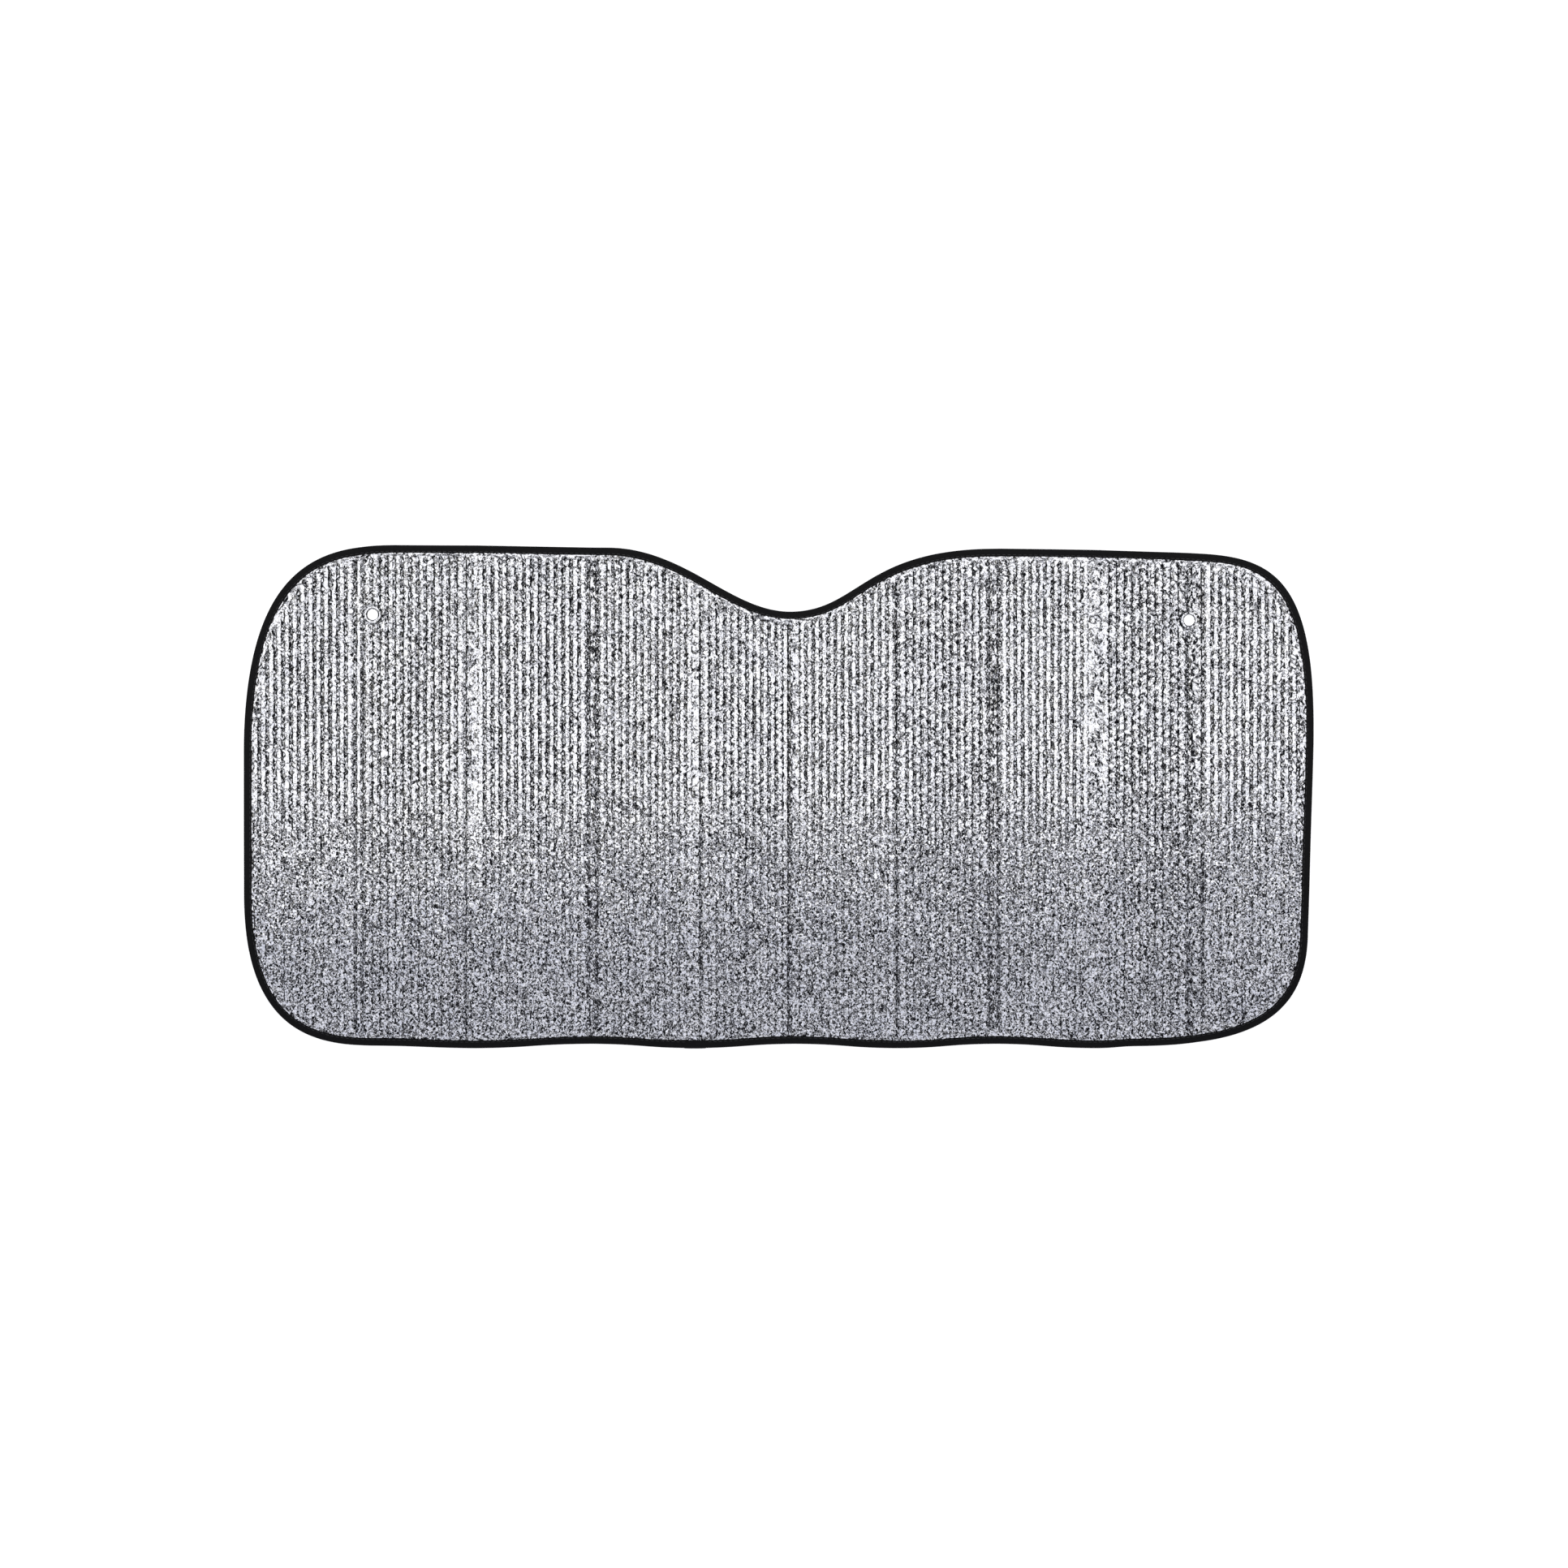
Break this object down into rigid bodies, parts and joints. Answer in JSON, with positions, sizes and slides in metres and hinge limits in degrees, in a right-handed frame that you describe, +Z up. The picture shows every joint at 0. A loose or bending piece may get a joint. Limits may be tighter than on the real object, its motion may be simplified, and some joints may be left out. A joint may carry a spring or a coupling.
{
  "type": "windscreen sunshade",
  "caption": "Folding reflective windscreen sunshade of bubble foil with accordion creases, a mirror notch, suction cup holes and a black sewn edge tape.",
  "frame": {"origin": "middle of the underside's bounding box, on the surface that the shade lies on", "axes": "+X along the shade to the right, +Y towards the edge with the mirror notch, +Z up out of the reflective face"},
  "size_m": [1.2956, 0.6104, 0.014],
  "materials": {
    "metallised_film": "bright metallised film over air bubbles, finely crinkled",
    "binding_tape": "matt black woven tape"
  },
  "bodies": {
    "root": {"foil_panel": "metallised_film", "edge_binding": "binding_tape"}
  },
  "joints": []
}
